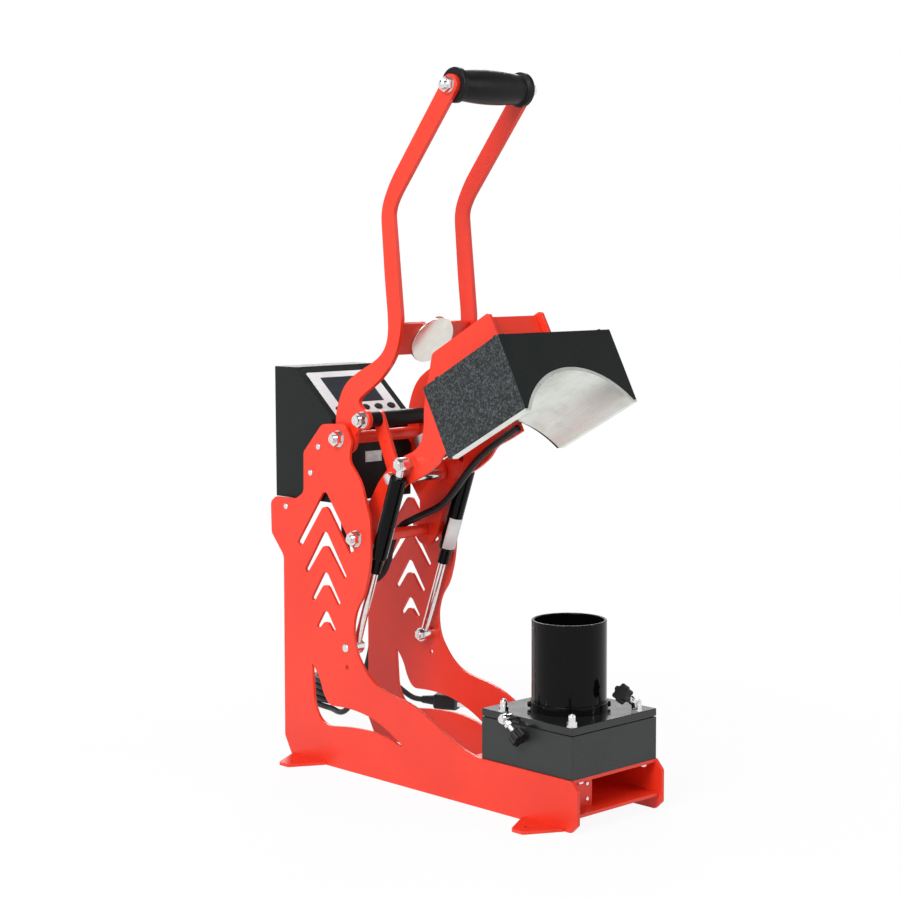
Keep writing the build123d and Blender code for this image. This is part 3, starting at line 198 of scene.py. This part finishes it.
def hammered_black():
    """Black powder coat that dried in fine glossy grains."""
    finish = Finish("hammered_black", (0.012, 0.014, 0.014), 0.40).rounded()
    finish.set({"Specular IOR Level": 0.30})
    grains = finish.cells(0.0015)
    finish.color(finish.ramp(finish.noise(0.0026, 3, 0.8), (0.38, (0.003, 0.004, 0.004)),
                             (0.50, (0.014, 0.018, 0.019)), (0.64, (0.085, 0.098, 0.104))))
    finish.roughness(finish.ramp(grains, (0.1, 0.30), (0.7, 0.52)))
    return finish.bump(grains, 0.00026).bump(finish.noise(0.0009, 2), 0.00006)


def satin_black():
    """The same black with hardly any grain, as on the broad faces of the box and the head. It is
    darker than the hammered black, so on the head it is also painted shade.
    """
    finish = Finish("satin_black", (0.007, 0.009, 0.009), 0.38).rounded()
    finish.set({"Specular IOR Level": 0.17})
    finish.color(finish.ramp(finish.noise(0.0016, 3, 0.7), (0.3, (0.005, 0.0065, 0.0065)),
                             (0.7, (0.011, 0.014, 0.014))))
    finish.roughness(finish.ramp(finish.noise(0.03, 3), (0.3, 0.34), (0.7, 0.44)))
    return finish.bump(finish.noise(0.0009, 3), 0.00005)


def smooth_black():
    """Satin black powder coat with a fine sandy texture."""
    finish = Finish("smooth_black", (0.020, 0.022, 0.022), 0.42).rounded()
    finish.set({"Specular IOR Level": 0.40})
    finish.color(finish.ramp(finish.noise(0.0013, 3, 0.7), (0.3, (0.015, 0.017, 0.017)),
                             (0.7, (0.029, 0.032, 0.032))))
    finish.roughness(finish.ramp(finish.noise(0.03, 3), (0.3, 0.38), (0.7, 0.48)))
    return finish.bump(finish.noise(0.0008, 3), 0.00006)


def table_black():
    """The pedestal's machined top: black paint that mirrors the room at a low angle."""
    finish = Finish("table_black", (0.010, 0.011, 0.011), 0.14).rounded()
    finish.roughness(finish.ramp(finish.noise(0.02, 3), (0.3, 0.10), (0.7, 0.20)))
    return finish.bump(finish.noise(0.004, 2), 0.00002)


def gloss_black():
    """Wet-looking black paint with orange peel."""
    finish = Finish("gloss_black", (0.0018, 0.0018, 0.002), 0.12).rounded()
    finish.set({"Specular IOR Level": 0.13})
    finish.roughness(finish.ramp(finish.noise(0.02, 3), (0.3, 0.08), (0.7, 0.15)))
    return finish.bump(finish.noise(0.0040, 2), 0.00014).bump(finish.noise(0.0012, 2), 0.00003)


def bright_plate():
    """Bright zinc or chrome plate on turned fasteners."""
    finish = Finish("bright_plate", (0.74, 0.74, 0.75), 0.12, 1.0)
    finish.roughness(finish.ramp(finish.noise(0.0022, 3), (0.3, 0.06), (0.7, 0.18)))
    finish.color(finish.ramp(finish.noise(0.006, 3), (0.3, (0.66, 0.66, 0.67)),
                             (0.7, (0.80, 0.80, 0.79))))
    return finish.bump(finish.noise(0.0010, 2), 0.00002)


def brushed_aluminium():
    """Rolled aluminium sheet: streaks along the roll, and a few heat stains."""
    finish = Finish("brushed_aluminium", (0.74, 0.74, 0.71), 0.30, 1.0)
    streaks = finish.noise(0.0012, 3, 0.6, finish.stretched((1, 0.03, 0.03)))
    stains = finish.noise(0.024, 4, 0.6)
    tone = finish.ramp(streaks, (0.25, (0.70, 0.72, 0.68)), (0.75, (0.79, 0.82, 0.77)))
    finish.color(finish.mix(finish.ramp(stains, (0.52, 0.0), (0.76, 0.35)), tone,
                            (0.50, 0.49, 0.42)))
    finish.roughness(finish.ramp(stains, (0.35, 0.26), (0.7, 0.40)))
    return finish.bump(streaks, 0.00001)


def nickel_disc():
    """Turned and nickel plated steel, warm and nearly a mirror."""
    finish = Finish("nickel_disc", (0.74, 0.71, 0.64), 0.16, 1.0)
    blotches = finish.noise(0.018, 3, 0.5)
    finish.color(finish.ramp(blotches, (0.3, (0.70, 0.66, 0.60)), (0.7, (0.80, 0.78, 0.72))))
    finish.roughness(finish.ramp(blotches, (0.3, 0.12), (0.7, 0.20)))
    return finish.bump(finish.noise(0.012, 2), 0.00003)


def zinc_steel():
    """Dull grey zinc with a fine spangle."""
    finish = Finish("zinc_steel", (0.42, 0.42, 0.43), 0.34, 1.0)
    finish.color(finish.ramp(finish.noise(0.005, 4, 0.6), (0.3, (0.34, 0.34, 0.35)),
                             (0.7, (0.50, 0.50, 0.50))))
    finish.roughness(finish.ramp(finish.noise(0.002, 3), (0.3, 0.26), (0.7, 0.42)))
    return finish.bump(finish.noise(0.0007, 2), 0.00003)


def black_rubber():
    """Moulded grip and sleeves: dark, a little glossy, finely pebbled."""
    finish = Finish("black_rubber", (0.006, 0.006, 0.007), 0.40)
    finish.set({"Specular IOR Level": 0.15})
    finish.color(finish.ramp(finish.noise(0.004, 3), (0.3, (0.004, 0.004, 0.005)),
                             (0.7, (0.010, 0.010, 0.011))))
    finish.roughness(finish.ramp(finish.noise(0.0016, 3), (0.3, 0.32), (0.7, 0.46)))
    return finish.bump(finish.noise(0.0007, 2), 0.00005)


def cable_sheath():
    """Black PVC sheath with a slight lay showing through."""
    finish = Finish("cable_sheath", (0.008, 0.008, 0.009), 0.42)
    finish.set({"Specular IOR Level": 0.34})
    finish.roughness(finish.ramp(finish.noise(0.003, 3), (0.3, 0.36), (0.7, 0.50)))
    finish.color(finish.ramp(finish.noise(0.012, 3), (0.3, (0.006, 0.006, 0.007)),
                             (0.7, (0.013, 0.013, 0.014))))
    return finish.bump(finish.noise(0.0015, 2), 0.00006)


def black_plastic():
    """Moulded black plastic with fine spark texture."""
    finish = Finish("black_plastic", (0.008, 0.008, 0.009), 0.42)
    finish.set({"Specular IOR Level": 0.30})
    finish.color(finish.ramp(finish.noise(0.003, 3), (0.3, (0.006, 0.006, 0.007)),
                             (0.7, (0.012, 0.012, 0.013))))
    finish.roughness(finish.ramp(finish.noise(0.001, 2), (0.3, 0.40), (0.7, 0.55)))
    return finish.bump(finish.noise(0.0005, 2), 0.00003)


def white_film():
    """Satin film with nothing printed on it, round the display and on the gas springs."""
    finish = Finish("white_film", (0.78, 0.79, 0.80), 0.42)
    finish.color(finish.ramp(finish.noise(0.02, 3), (0.3, (0.74, 0.75, 0.76)),
                             (0.7, (0.81, 0.82, 0.83))))
    finish.roughness(finish.ramp(finish.noise(0.002, 2), (0.3, 0.36), (0.7, 0.48)))
    return finish.bump(finish.noise(0.0006, 2), 0.00001)


def display_glass():
    """A dark liquid crystal window, switched off."""
    finish = Finish("display_glass", (0.010, 0.012, 0.020), 0.08)
    finish.set({"Coat Weight": 1.0, "Coat Roughness": 0.03})
    finish.color(finish.ramp(finish.noise(0.05, 2), (0.3, (0.008, 0.010, 0.018)),
                             (0.7, (0.018, 0.022, 0.038))))
    return finish.bump(finish.noise(0.02, 1), 0.00002)


def circuit_board():
    """Green solder mask over a faint weave."""
    finish = Finish("circuit_board", (0.02, 0.10, 0.05), 0.4)
    finish.color(finish.ramp(finish.cells(0.004, "F1"), (0.2, (0.02, 0.10, 0.05)),
                             (0.8, (0.03, 0.16, 0.08))))
    return finish.bump(finish.cells(0.004, "F1"), 0.0001)


def mineral_wool():
    """Matted pale fibres."""
    finish = Finish("mineral_wool", (0.62, 0.56, 0.40), 0.95)
    fibres = finish.noise(0.0012, 5, 0.7)
    finish.color(finish.ramp(fibres, (0.3, (0.50, 0.44, 0.30)), (0.7, (0.70, 0.65, 0.50))))
    return finish.bump(fibres, 0.0006)


def silicone_heater():
    """Brown silicone moulded over a woven cloth."""
    finish = Finish("silicone_heater", (0.30, 0.06, 0.03), 0.6)
    weave = finish.cells(0.0015, "F1")
    finish.color(finish.ramp(weave, (0.2, (0.24, 0.045, 0.02)), (0.8, (0.36, 0.08, 0.04))))
    return finish.bump(weave, 0.0001)


# Which finish each node wears

finishes = {
    red_powder_coat: [
        "left_side_plate", "right_side_plate", "base_top_plate", "base_bottom_plate",
        "front_angle_post", "pivot_spacers", "left_handle_arm", "right_handle_arm",
        "handle_crossplate", "drive_links", "left_head_bracket", "right_head_bracket",
        "head_crossplates"],
    hammered_black: ["head_cover"],
    satin_black: ["control_box_shell"],
    smooth_black: ["pedestal_box"],
    table_black: ["tube_mount_plate"],
    gloss_black: ["ball_tube", "tube_collar", "spring_cylinders"],
    bright_plate: [
        "pivot_shafts", "pivot_nuts", "handle_shafts", "handle_nuts", "spring_rods",
        "spring_foot_pins", "base_bolts", "tube_plate_studs", "head_fasteners",
        "control_box_screws", "left_eye_bolt", "front_eye_bolt", "plug_pins", "drive_pin"],
    brushed_aluminium: ["platen"],
    nickel_disc: ["armature_disc"],
    zinc_steel: ["electromagnet"],
    black_rubber: ["handle_grip", "link_shaft_sleeves"],
    black_plastic: [
        "left_star_knob", "front_star_knob", "switch_housing", "switch_rocker", "cable_glands",
        "power_plug"] + [f"key_button_{i + 1}" for i in range(5)],
    white_film: ["panel_overlay"],
    display_glass: ["display_window"],
    circuit_board: ["control_board"],
    mineral_wool: ["insulation"],
    silicone_heater: ["heating_element"],
}
made = {finish: finish().material for finish in finishes}
for finish, names in finishes.items():
    for name in names:
        mesh = NODES[name].data
        mesh.materials.clear()
        mesh.materials.append(made[finish])


# Faces that wear a second finish, the bare rating plate and the gas springs' blank labels

side_facing = 0.7
edge_facing = 0.1
top_facing = 0.6
cover_screw_height = 0.003
rating_plate = ((-0.012, 0.1669, 0.388), (0.016, 0.16755, 0.402))
rating_plate_edge = 0.0001
spring_x = 0.0585
spring_top = Vector((0, 0.0455, 0.3975))
spring_foot = Vector((0, 0.1345, 0.1585))
spring_way = (spring_foot - spring_top).normalized()
spring_barrel_start = 0.0165
label_start = 0.083
label_end = 0.126
label_radius = 0.01065
label_thickness = 0.0002
label_steps = 24
# Each label's name, its side, and the middle and half width of its wrap in degrees
LABELS = [("far_spring_label", 1, 60, 110), ("near_spring_label", -1, 0, 62)]


def second_finish(name, finish, wears_it):
    """A second finish for those faces of a node that pass a test."""
    mesh = NODES[name].data
    mesh.materials.append(made[finish])
    for polygon in mesh.polygons:
        if wears_it(polygon):
            polygon.material_index = 1


def smooth_shaded_head_faces():
    """The head cover's grain shows on its two sides; the faces between them are smooth, and
    their darker black is painted shade.
    """
    # Painted shade: the head's faces between its sides wear the darker satin black, and they
    # also lose the grain.
    second_finish("head_cover", satin_black,
                  lambda polygon: abs(polygon.normal.x) < side_facing)


def blacken_cover_screws():
    """The screws in the top of the head cover are black; the other head fasteners are bright."""
    cover = NODES["head_cover"].data
    tops = [polygon for polygon in cover.polygons
            if abs(polygon.normal.x) < edge_facing and polygon.normal.z > top_facing]
    up = max(tops, key=lambda polygon: polygon.area).normal.copy()
    top = max(vertex.co.dot(up) for vertex in cover.vertices)
    second_finish("head_fasteners", black_plastic,
                  lambda polygon: 0 <= polygon.center.dot(up) - top < cover_screw_height)


def make_rating_plate():
    """A bare plate on the front wall of the control box."""
    low, high = rating_plate
    form = bmesh.new()
    bmesh.ops.create_cube(form, size=1)
    for vertex in form.verts:
        vertex.co = Vector(tuple(a + (b - a) * (value + 0.5)
                                 for a, b, value in zip(low, high, vertex.co)))
    bmesh.ops.bevel(form, geom=form.edges[:], offset=rating_plate_edge, segments=1,
                    affect="EDGES")
    mesh = mesh_of("rating_plate", form)
    mesh.materials.append(made[zinc_steel])
    plate = add_object("rating_plate", mesh)
    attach(plate, "frame")


def plate_spring_ends():
    """The cylinders' eyes and necks are bright metal above the black barrels."""
    second_finish("spring_cylinders", bright_plate, lambda polygon: (
        polygon.center - spring_top).dot(spring_way) < spring_barrel_start)


def spring_label(name, side, middle, half_angle):
    """A blank paper label wrapped part of the way round a gas spring's barrel."""
    across = Vector((1, 0, 0))
    ahead = spring_way.cross(across)
    form = bmesh.new()
    rings = []
    for along in (label_start, label_end):
        ring = []
        for i in range(label_steps + 1):
            angle = math.radians(middle + half_angle * (2 * i / label_steps - 1))
            out = across * math.cos(angle) + ahead * math.sin(angle)
            centre = spring_top + Vector((side * spring_x, 0, 0)) + spring_way * along
            ring.append(form.verts.new(centre + out * label_radius))
        rings.append(ring)
    for i in range(label_steps):
        form.faces.new((rings[0][i], rings[0][i + 1], rings[1][i + 1], rings[1][i]))
    mesh = mesh_of(name, form)
    for polygon in mesh.polygons:
        polygon.use_smooth = True
    mesh.materials.append(made[white_film])
    label = add_object(name, mesh)
    thick = label.modifiers.new("thick", "SOLIDIFY")
    thick.thickness = label_thickness
    thick.offset = 0
    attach(label, "spring_cylinders")


smooth_shaded_head_faces()
blacken_cover_screws()
make_rating_plate()
plate_spring_ends()
for row in LABELS:
    spring_label(*row)


# Cords. Their routes are the CAD's own, in millimetres.

coil_centre = (172.0, 425.0)
coil_radius = 45.0
coil_pitch = 8.8
coil_low = 4.8
coil_turns = 4.5
points_per_turn = 16
cord_radius = 4.0
heater_radius = 4.5
steps_between_points = 8
steps_round = 6
route_order = 3


def in_metres(points):
    """A route's points in the scene's own unit."""
    return [Vector(point) * MM for point in points]


def nurbs(name, points, radius, material):
    """A round cord as one smooth curve whose control points are the route."""
    curve = bpy.data.curves.new(name, "CURVE")
    curve.dimensions = "3D"
    curve.resolution_u = steps_between_points
    curve.bevel_depth = radius
    curve.bevel_resolution = steps_round
    curve.use_fill_caps = True
    spline = curve.splines.new("NURBS")
    spline.points.add(len(points) - 1)
    for target, point in zip(spline.points, points):
        target.co = (*point, 1)
    spline.order_u = route_order
    spline.use_endpoint_u = True
    curve.materials.append(material)
    return add_object(name, curve)


def centreline(piece):
    """The points that a curve's own line passes through."""
    curve = piece.data
    kept = curve.bevel_depth
    curve.bevel_depth = 0
    mesh = bpy.data.meshes.new_from_object(piece)
    points = [vertex.co.copy() for vertex in mesh.vertices]
    bpy.data.meshes.remove(mesh)
    curve.bevel_depth = kept
    return points


def coil_point(turn):
    """The coil's point after that many turns, in millimetres."""
    angle = math.pi - 2 * math.pi * turn
    return (coil_centre[0] + coil_radius * math.cos(angle),
            coil_centre[1] + coil_radius * math.sin(angle), coil_low + coil_pitch * turn)


FALL = [
    (30, 295.5, 372), (30, 311, 372),
    (37, 323, 368), (52, 329, 361), (74, 329, 350), (97, 324, 334), (115, 317, 312),
    (126, 311, 283), (131, 308, 246), (132, 308, 205), (131, 310, 164), (128.5, 314, 124),
    (125, 321, 86), (121, 331, 54), (117.5, 344, 28), (116, 357, 12), (116.5, 369, 5.6),
    (118.5, 381, 4.5), (123, 392, 4.4), (127, 406, 4.4)]
COIL = [coil_point(i / points_per_turn) for i in range(round(coil_turns * points_per_turn) + 1)]
TAIL = [
    (217, 408, 44.2), (217.3, 397.5, 43.8), (218.4, 386.5, 40.0), (220.5, 376, 33.4),
    (223.7, 366, 26.0), (227.4, 356.6, 19.2), (231.4, 348.6, 13.8), (235.2, 341.6, 11.2),
    (239.0, 333.9, 11.0)]
LOOP = [
    (-36, 182, 334), (-36, 182, 312),
    (-35.5, 181, 286), (-33, 177, 262), (-26, 169, 243), (-14, 158, 234), (-3, 149, 240),
    (3, 142, 257), (5, 139, 277), (8, 134, 296), (13, 124, 309), (20, 113, 315.5)]
RISER = [
    (27, 102, 322), (33, 88, 328.5), (36.2, 74.5, 336.5), (36.6, 61, 347.5),
    (36.5, 47.5, 361), (36.3, 32, 378), (36.2, 14, 395.5), (36.3, -7, 411.7),
    (36.5, -27, 424.3), (36.5, -44, 434.0), (36.5, -59.8, 443.1)]


def make_power_cord(sheath):
    """The mains cord, down behind the far side plate to its coil and its plug."""
    cord = nurbs("power_flex", in_metres(FALL + COIL + TAIL), cord_radius * MM, sheath)
    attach(cord, "frame")
    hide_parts("power_cord", "power_cord_coil", "power_cord_tail")


def make_heater_cable(sheath):
    """One cable from the box to the head, laid as one fixed mesh; its route bends where it
    passes the head's pivot.
    """
    curve = nurbs("heater_route", in_metres(LOOP + RISER), heater_radius * MM, sheath)
    path = centreline(curve)
    mesh = bpy.data.meshes.new_from_object(curve)
    bpy.data.objects.remove(curve)
    mesh.name = "heater_flex"
    mesh.materials.clear()
    mesh.materials.append(sheath)
    for polygon in mesh.polygons:
        polygon.use_smooth = True
    cable = add_object("heater_flex", mesh)
    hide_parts("heater_cable_loop", "heater_cable_riser")
    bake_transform(cable)


sheath = cable_sheath().material
make_camera()
make_power_cord(sheath)
make_heater_cable(sheath)


# Stage: a white floor, a white horizon that darkens overhead, and plain soft lamps

floor_half = 12
floor_drop = 0.0002
floor_grey = 0.86
floor_glow = 0.93
floor_fade = (0.3, 0.9)
world_fill = 0.42
sky_fade = (0.30, 0.62)
sky_top = 0.22
# Each lamp's name, place, aim, size and power in watts
LAMPS = [
    ("key_box", (-2.4, -0.7, 2.0), (0, 0, 0.4), (1.6, 1.6), 78),
    ("front_box", (1.3, -2.5, 1.4), (0, 0, 0.4), (0.12, 1.5), 13),
    ("top_box", (0.0, 0.2, 2.8), (0, 0, 0.3), (2.0, 2.0), 26),
    ("back_box", (1.9, 2.1, 1.9), (0, 0, 0.4), (1.4, 1.4), 34),
]


def white_to_the_eye(tree):
    """One where the camera or a mirror sees the surface, and nought for other light."""
    path = tree.nodes.new("ShaderNodeLightPath")
    seen = path.outputs["Is Camera Ray"]
    for name in ("Is Glossy Ray", "Is Transmission Ray"):
        either = tree.nodes.new("ShaderNodeMath")
        either.operation = "MAXIMUM"
        tree.links.new(seen, either.inputs[0])
        tree.links.new(path.outputs[name], either.inputs[1])
        seen = either.outputs[0]
    return seen


def fade_between(tree, value, span, first, last):
    """A soft change from one number to another while the value crosses the span."""
    fade = tree.nodes.new("ShaderNodeMapRange")
    fade.interpolation_type = "SMOOTHSTEP"
    fade.inputs["From Min"].default_value, fade.inputs["From Max"].default_value = span
    fade.inputs["To Min"].default_value = first
    fade.inputs["To Max"].default_value = last
    tree.links.new(value, fade.inputs["Value"])
    return fade.outputs[0]


def make_floor():
    """White to the eye. It keeps a soft shadow near the object and none further out."""
    form = bmesh.new()
    bmesh.ops.create_grid(form, x_segments=1, y_segments=1, size=floor_half)
    mesh = mesh_of("floor", form)
    floor = add_object("floor", mesh)
    floor.location.z = -floor_drop
    material = bpy.data.materials.new("floor_white")
    material.use_nodes = True
    tree = material.node_tree
    tree.nodes.clear()
    lit = tree.nodes.new("ShaderNodeBsdfDiffuse")
    lit.inputs["Color"].default_value = (floor_grey, floor_grey, floor_grey, 1)
    glow = tree.nodes.new("ShaderNodeEmission")
    glow.inputs["Color"].default_value = (1, 1, 1, 1)
    middle = tree.nodes.new("ShaderNodeVectorMath")
    middle.operation = "LENGTH"
    tree.links.new(tree.nodes.new("ShaderNodeTexCoord").outputs["Object"], middle.inputs[0])
    fade = fade_between(tree, middle.outputs["Value"], floor_fade, floor_glow, 1.0)
    share = tree.nodes.new("ShaderNodeMath")
    share.operation = "MULTIPLY"
    tree.links.new(fade, share.inputs[1])
    tree.links.new(white_to_the_eye(tree), share.inputs[0])
    both = tree.nodes.new("ShaderNodeMixShader")
    tree.links.new(share.outputs[0], both.inputs[0])
    tree.links.new(lit.outputs[0], both.inputs[1])
    tree.links.new(glow.outputs[0], both.inputs[2])
    output = tree.nodes.new("ShaderNodeOutputMaterial")
    tree.links.new(both.outputs[0], output.inputs["Surface"])
    mesh.materials.append(material)


def make_world():
    """The surroundings, which look brighter than they light."""
    world = bpy.data.worlds.new("studio")
    world.use_nodes = True
    tree = world.node_tree
    seen = white_to_the_eye(tree)
    strength = tree.nodes.new("ShaderNodeMapRange")
    strength.inputs["To Min"].default_value = world_fill
    strength.inputs["To Max"].default_value = 1.0
    tree.links.new(seen, strength.inputs["Value"])
    sky = tree.nodes["Background"]
    split = tree.nodes.new("ShaderNodeSeparateXYZ")
    tree.links.new(tree.nodes.new("ShaderNodeTexCoord").outputs["Generated"],
                   split.inputs[0])
    tree.links.new(fade_between(tree, split.outputs["Z"], sky_fade, 1.0, sky_top),
                   sky.inputs["Color"])
    tree.links.new(strength.outputs[0], sky.inputs["Strength"])
    bpy.context.scene.world = world


def lamp(name, place, aim, size, power):
    """A soft rectangular lamp that points at its aim."""
    data = bpy.data.lights.new(name, "AREA")
    data.shape = "RECTANGLE"
    data.size, data.size_y = size
    data.energy = power
    light = add_object(name, data)
    light.location = place
    light.rotation_mode = "QUATERNION"
    light.rotation_quaternion = (Vector(aim) - Vector(place)).to_track_quat("-Z", "Y")


make_floor()
make_world()
for row in LAMPS:
    lamp(*row)
bpy.context.scene.view_settings.view_transform = "Standard"
